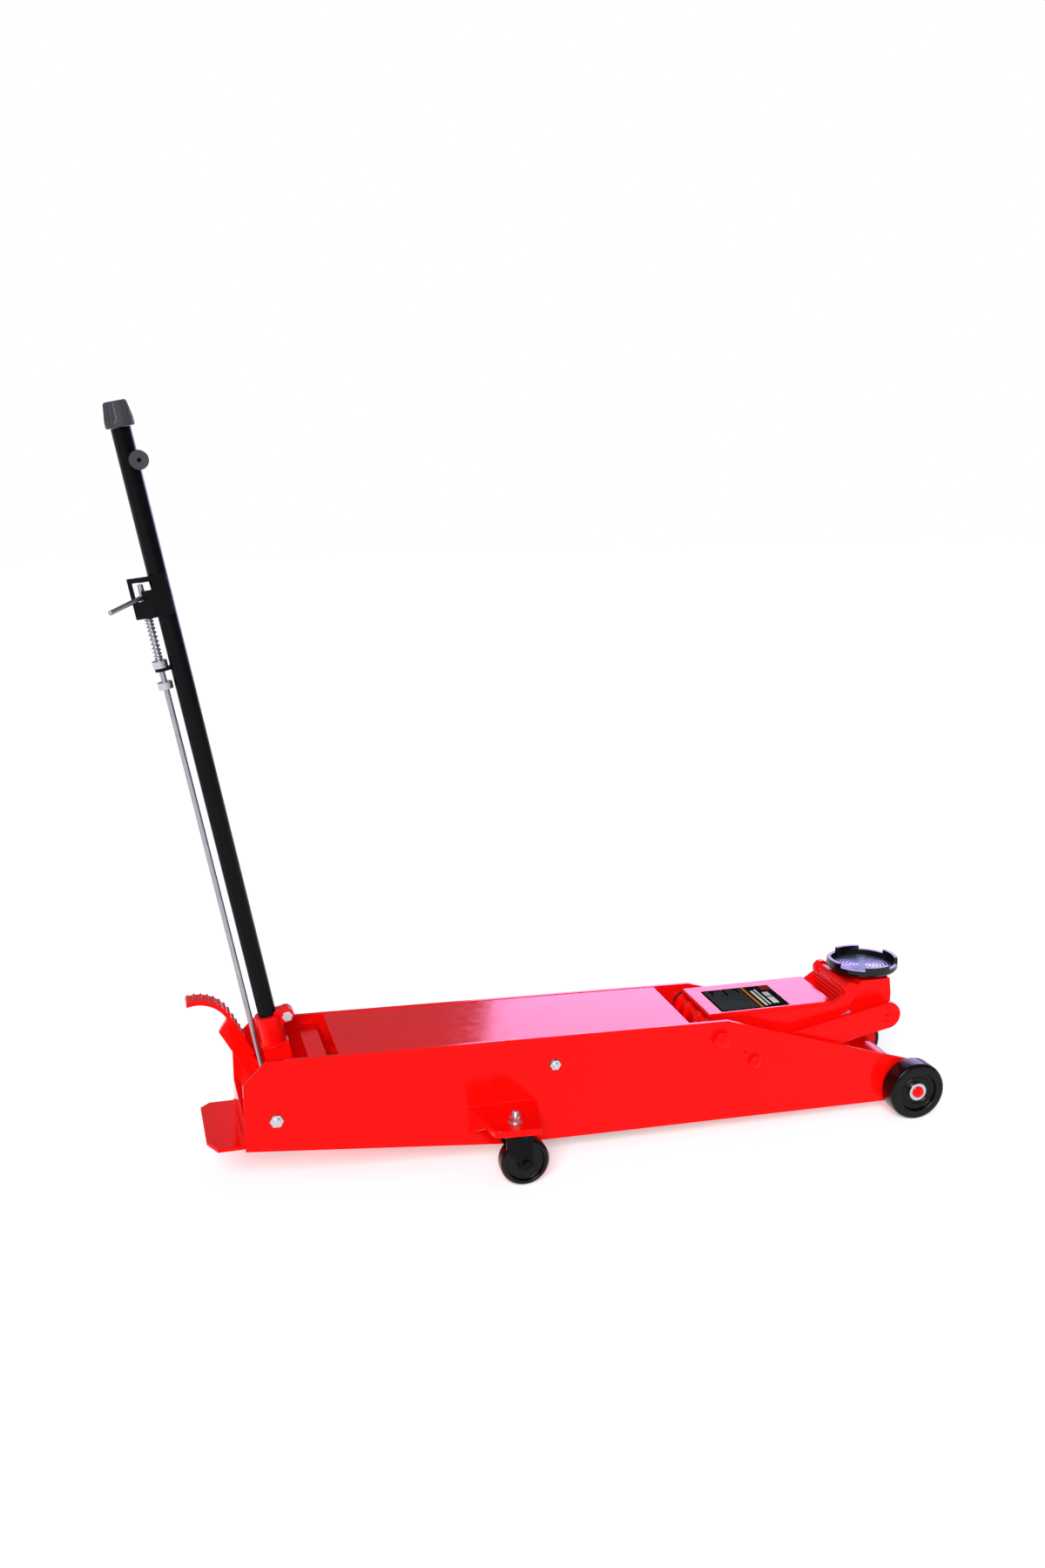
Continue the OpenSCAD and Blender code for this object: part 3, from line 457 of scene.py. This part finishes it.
def chassis_welds():
    shelf_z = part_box("caster_bracket_left")[1].z / MM
    step_z = 105.5
    cross_tube_r = 23.5
    for tag, side in SIDES.items():
        y = side * (HALF_W + 0.6)
        inside = side * (INNER - 0.5)
        runs = {
            "shelf": ([station(-988, y, shelf_z + 0.5), station(-848, y, shelf_z + 0.5)], 0.0042),
            "shelf_rear": ([station(-989.5, y, shelf_z - 3), station(-989.5, y, shelf_z - 52)], 0.0030),
            "shelf_front": ([station(-846.5, y, shelf_z - 3), station(-846.5, y, shelf_z - 52)], 0.0030),
            "step": ([station(-1434, side * (INNER - 3), step_z),
                      station(-1434, side * (INNER - 46), step_z)], 0.0030),
            "bay": ([station(-1296, inside, 257), station(-1265, inside, 257)], 0.0022),
        }
        for name, (corners, radius) in runs.items():
            weld_bead(f"weld_{name}_{tag}", corners, radius, "chassis")
        ring = [station(a, inside, AXLE_Z + b) for a, b in circle(40, cross_tube_r)]
        weld_bead(f"weld_cross_tube_{tag}", ring, 0.0026, "chassis", closed=True)


def arm_welds():
    low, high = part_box("arm_top_plate")
    origin_x = station(0, 0, 0).x
    back = (low.x - origin_x) / MM + 30
    front = (high.x - origin_x) / MM - 3
    seam_z = 250.2
    for tag, side in SIDES.items():
        y = side * (high.y / MM + 0.3)
        weld_bead(f"weld_arm_{tag}", [station(back, y, seam_z), station(front, y, seam_z)],
                  0.0020, "lift_arm")


def handle_welds():
    """The beads round the socket's collar, and where the bracket and guide meet the tube."""
    ring = [on_handle(TUBE_U + a, b, 110.3) for a, b in circle(48, 26.6)]
    weld_bead("weld_socket", ring, 0.0026, "handle", closed=True)
    for name, low, high in (("low", 992, 1016), ("high", 1036, 1060)):
        corners = [on_handle(46.9, -17.8, low), on_handle(46.9, -17.8, high)]
        weld_bead(f"weld_bracket_{name}", corners, 0.0017, "handle", "black")
    turns = [math.radians(a) for a in range(-24, 25, 4)]
    arc = [on_handle(TUBE_U - 18.4 * math.cos(a), 18.4 * math.sin(a), 893.4) for a in turns]
    weld_bead("weld_guide", arc, 0.0016, "handle", "black")


chassis_welds()
arm_welds()
handle_welds()


# ---------------------------------------------------------------- bolts, washers, nipples

def turned(name, profile, center, axis, segments, material, body):
    """A piece turned from a profile of (radius, height) points."""
    return new_piece(name, lambda bm: lathe(bm, profile, center, axis, segments), material, body)


def washer(name, center, axis, inner, outer, thick, material, body):
    e = thick * 0.25
    profile = [
        (inner, 0), (outer - e, 0), (outer, e), (outer, thick - e),
        (outer - e, thick), (inner, thick), (inner, 0),
    ]
    return turned(name, profile, center, axis, 40, material, body)


def dome(name, center, axis, radius, height, material, body):
    turns = [math.radians(a) for a in range(10, 90, 16)]
    profile = [(radius, 0.0)]
    profile += [(radius * math.cos(a), height * math.sin(a)) for a in turns]
    profile.append((0.0, height))
    return turned(name, profile, center, axis, 32, material, body)


def side_bolts():
    # Name, station, height, how far the head stands out and its radius
    zinc_heads = (("tie", -807, 205, 7, 6.6), ("pivot", -1371.5, 154.6, 6, 8.0))
    # Crowns of the painted heads on the arm's and the links' pivots
    red_heads = (("arm", -442, 216, 11.9, 0.0145, 0.0022), ("link", -364, 158, 8.9, 0.0105, 0.0020))
    for tag, side in SIDES.items():
        out = (0, side, 0)
        for name, x, z, reach, r in zinc_heads:
            # The dark steel washer under each zinc head is painted shade: it stands in for the shadow ring
            # round the head
            washer(f"washer_{name}_{tag}", station(x, side * (HALF_W + 0.05), z), out,
                   r * 0.8 * MM, (r + 5.2) * MM, 0.0012, "dark", "chassis")
            top = station(x, side * (HALF_W + reach - 0.1), z)
            dome(f"crown_{name}_{tag}", top, out, r * MM, 0.0024, "zinc", "chassis")
        for name, x, z, reach, radius, height in red_heads:
            top = station(x, side * (HALF_W + reach), z)
            dome(f"crown_{name}_{tag}", top, out, radius, height, "red", "chassis")


def nipple(name, center, axis, material, body, size=1.0):
    m = MM * size
    profile = [
        (0, 0), (4.6 * m, 0), (4.6 * m, 2.6 * m), (2.6 * m, 3.6 * m), (2.2 * m, 5.4 * m),
        (3.3 * m, 6.6 * m), (3.1 * m, 8.2 * m), (1.3 * m, 9.2 * m), (0, 9.2 * m),
    ]
    return turned(name, profile, center, axis, 24, material, body)


def grease_nipples():
    for tag, side in SIDES.items():
        out = (0, side, 0)
        nipple(f"grease_arm_{tag}", station(-384, side * HALF_W, 179), out, "red", "chassis")
        pin_end = station(-46, side * 100.9, 219.5)
        nipple(f"grease_pin_{tag}", pin_end, out, "red", f"link_{tag}", 0.7)
    gap = station(-492, -INNER + 2, 236)
    nipple("grease_gap", gap, (0.25, 0.5, 1), "zinc", "chassis", 0.9)


def kingpin_threads():
    turns, per_turn, low, high = 5, 16, 148.4, 156.2
    total = turns * per_turn
    thread_r, ridge_r = 0.0070, 0.00062
    for tag, side in SIDES.items():
        y = side * KINGPIN_Y
        points = []
        for k in range(total + 1):
            a = 2 * math.pi * k / per_turn
            around = Vector((thread_r * math.cos(a), thread_r * math.sin(a), 0))
            points.append(station(KINGPIN_X, y, low + (high - low) * k / total) + around)
        radii = [ridge_r] * len(points)
        new_piece(f"thread_{tag}", lambda bm, p=points: sweep(bm, p, radii, 6), "zinc", "chassis")
        washer(f"washer_kingpin_{tag}", station(KINGPIN_X, y, 133.02), (0, 0, 1),
               0.0072, 0.0152, 0.0016, "zinc", "chassis")


def caster_hubs():
    ring = [
        (0.0150, 0.0), (0.0175, 0.0016), (0.0200, 0.0),
        (0.0200, -0.0006), (0.0150, -0.0006), (0.0150, 0.0),
    ]
    for tag, side in SIDES.items():
        center = station(-897, side * KINGPIN_Y, 50)
        for face, out in (("outer", side), ("inner", -side)):
            at = center + Vector((0, out * 0.0110, 0))
            turned(f"caster_ring_{tag}_{face}", ring, at, (0, out, 0), 48,
                   "tread", f"caster_wheel_{tag}")


side_bolts()
grease_nipples()
kingpin_threads()
caster_hubs()


# ---------------------------------------------------------------- wheels, saddle, knob and grip

def wheel_faces():
    # A moulded ring between the rim and the hub, standing on the recessed face
    ring = [
        (0.0270, -0.0071), (0.0285, -0.0056), (0.0320, -0.0056), (0.0335, -0.0071),
        (0.0335, -0.0078), (0.0270, -0.0078), (0.0270, -0.0071),
    ]
    for tag, side in SIDES.items():
        out = (0, side, 0)
        center = station(0, side * (HALF_W + 3 + 48), AXLE_Z)
        turned(f"wheel_ring_{tag}", ring, center, out, 64, "tread", f"front_wheel_{tag}")
        end = station(0, side * (HALF_W + 51.95), AXLE_Z)
        dome(f"axle_end_{tag}", end, out, 0.0118, 0.0014, "red", "chassis")


def saddle_pad():
    """A thin plate on the saddle's floor, with rings cut in its face. Its bluish grey colour is painted
    reflection: it stands in for the white surroundings mirrored in the glossy black saddle floor.
    """
    low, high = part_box("saddle")
    center = Vector(((low.x + high.x) / 2, 0, station(0, 0, 302.02).z))
    face, groove, pitch = 0.0012, 0.0007, 0.0078
    profile = [(0.0, face)]
    for k in range(1, 9):
        r = pitch * k
        profile += [(r - 0.0012, face), (r - 0.0008, groove), (r, groove), (r + 0.0004, face)]
    profile += [(0.0645, face), (0.0652, 0.0)]
    turned("saddle_face_painted_reflection", profile, center, (0, 0, 1), 72, "plate", "saddle")


def knob_details():
    top = on_handle(TUBE_U, 0, 1374)
    profile = [
        (0.0, -0.0007), (0.0085, -0.0007), (0.0092, -0.0001),
        (0.0140, -0.0001), (0.0146, -0.0008), (0.0152, -0.0008),
    ]
    turned("knob_cap", profile, top, ALONG, 40, "grip", "release_knob")
    washer("knob_screw", on_handle(TUBE_U - 7, -24.6, 1338), (-0.28, -0.96, 0),
           0.0012, 0.0032, 0.0012, "dark", "release_knob")


def grip_details():
    rib = [
        (0.0160, -0.0009), (0.0171, -0.0005), (0.0171, 0.0005),
        (0.0160, 0.0009), (0.0160, -0.0009),
    ]
    for k in range(7):
        center = on_handle(TUBE_U + 16, -58 + k * 5.6, 1268)
        turned(f"grip_rib_{k}", rib, center, (0, 1, 0), 40, "grip", "handle")


def label_sheet(name, x_span, y_span, z, material, corner=0.0):
    """A thin sheet on the arm, in mm, with its corners cut where corner is given."""
    x0, x1 = x_span
    y0, y1 = y_span
    c = corner
    outline = [(x0, y0), (x1, y0), (x1, y1), (x0, y1)]
    if c:
        outline = [
            (x0 + c, y0), (x1 - c, y0), (x1, y0 + c), (x1, y1 - c),
            (x1 - c, y1), (x0 + c, y1), (x0, y1 - c), (x0, y0 + c),
        ]

    def build(bm):
        low = [bm.verts.new(station(x, y, z - 0.05)) for x, y in outline]
        high = [bm.verts.new(station(x, y, z + 0.12)) for x, y in outline]
        bm.faces.new(high)
        bm.faces.new(low[::-1])
        for k in range(len(low)):
            j = (k + 1) % len(low)
            bm.faces.new((low[k], low[j], high[j], high[k]))

    return new_piece(name, build, material, "lift_arm", smooth=False)


def arm_label():
    """A plain data plate: a black sheet with bars and blocks, and no lettering."""
    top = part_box("arm_top_plate")[1].z / MM + 0.06
    print_z = top + 0.14
    label_sheet("label", (-424, -266), (-72, 49), top, "label_black", 0.6)
    label_sheet("label_band", (-331, -325), (-71, 48), print_z, "label_orange")
    for k in range(14):
        x = -417 + 6.0 * k
        # Lines of different lengths, as in a block of small print
        end = 43 - 9 * (k % 4 == 3) - 22 * (k % 5 == 2)
        label_sheet(f"label_line_{k}", (x, x + 2.2), (-66, end), print_z, "label_grey")
    label_sheet("label_bar_0", (-318, -312), (-62, 24), print_z, "label_white")
    label_sheet("label_bar_1", (-307, -303), (-58, 30), print_z, "label_white")
    label_sheet("label_block_0", (-296, -282), (-54, -18), print_z, "label_white")
    label_sheet("label_block_1", (-296, -282), (-12, 10), print_z, "label_white")
    label_sheet("label_corner", (-290, -268), (22, 47), print_z, "label_red", 0.6)


wheel_faces()
saddle_pad()
knob_details()
grip_details()
arm_label()


# ---------------------------------------------------------------- floor and lights

def make_stage():
    bm = bmesh.new()
    side = 14.0
    corners = [bm.verts.new((x, y, 0)) for x, y in
               ((-side, -side), (side, -side), (side, side), (-side, side))]
    bm.faces.new(corners)
    mesh = bpy.data.meshes.new("floor")
    bm.to_mesh(mesh)
    bm.free()
    floor = bpy.data.objects.new("floor", mesh)
    scene.collection.objects.link(floor)
    p = Paint("floor_white", (0.93, 0.93, 0.93), 0.8, specular=0.1)
    p.tint(p.noise(2.0, 2.0), (0.925, 0.925, 0.93), (0.935, 0.935, 0.935))
    p.bsdf.inputs["Emission Color"].default_value = (1.0, 1.0, 1.0, 1)
    p.bsdf.inputs["Emission Strength"].default_value = 0.35
    mesh.materials.append(p.mat)


def place_light(name, kind, at, to):
    data = bpy.data.lights.new(name, kind)
    light = bpy.data.objects.new(name, data)
    light.location = at
    light.rotation_mode = "QUATERNION"
    light.rotation_quaternion = (Vector(at) - Vector(to)).to_track_quat("Z", "Y")
    scene.collection.objects.link(light)
    return light


def sun(name, towards, strength, angle, color=(1, 1, 1)):
    light = place_light(name, "SUN", towards, (0, 0, 0))
    light.data.energy = strength
    light.data.angle = math.radians(angle)
    light.data.color = color


def reflector(name, at, to, size, power, color):
    """A soft card that only shows in glossy surfaces."""
    light = place_light(name, "AREA", at, to)
    light.data.shape = "RECTANGLE"
    light.data.size, light.data.size_y = size
    light.data.energy = power
    light.data.color = color
    light.visible_camera = False
    light.visible_diffuse = False


def make_world():
    world = bpy.data.worlds.new("studio")
    world.use_nodes = True
    tree = world.node_tree
    tree.nodes.clear()
    out = tree.nodes.new("ShaderNodeOutputWorld")
    mix = tree.nodes.new("ShaderNodeMixShader")
    path = tree.nodes.new("ShaderNodeLightPath")
    soft = tree.nodes.new("ShaderNodeBackground")
    soft.inputs["Color"].default_value = (0.80, 0.87, 1.0, 1)
    soft.inputs["Strength"].default_value = 0.30
    white = tree.nodes.new("ShaderNodeBackground")
    white.inputs["Color"].default_value = (1, 1, 1, 1)
    white.inputs["Strength"].default_value = 1.0
    tree.links.new(path.outputs["Is Camera Ray"], mix.inputs["Fac"])
    tree.links.new(soft.outputs["Background"], mix.inputs[1])
    tree.links.new(white.outputs["Background"], mix.inputs[2])
    tree.links.new(mix.outputs["Shader"], out.inputs["Surface"])
    scene.world = world


make_stage()
make_world()
sun("key", (-1.2, -2.9, 2.0), 3.1, 30)
reflector("back_card", (2.2, 3.2, 1.7), (0.2, 0, 0.25), (2.9, 1.7), 84, (0.72, 0.50, 1.0))
reflector("front_card", (-1.3, -3.4, 3.1), (0.1, 0, 0.2), (1.1, 0.7), 60, (1.0, 0.86, 0.96))

scene.view_settings.view_transform = "Standard"
scene.view_settings.look = "None"
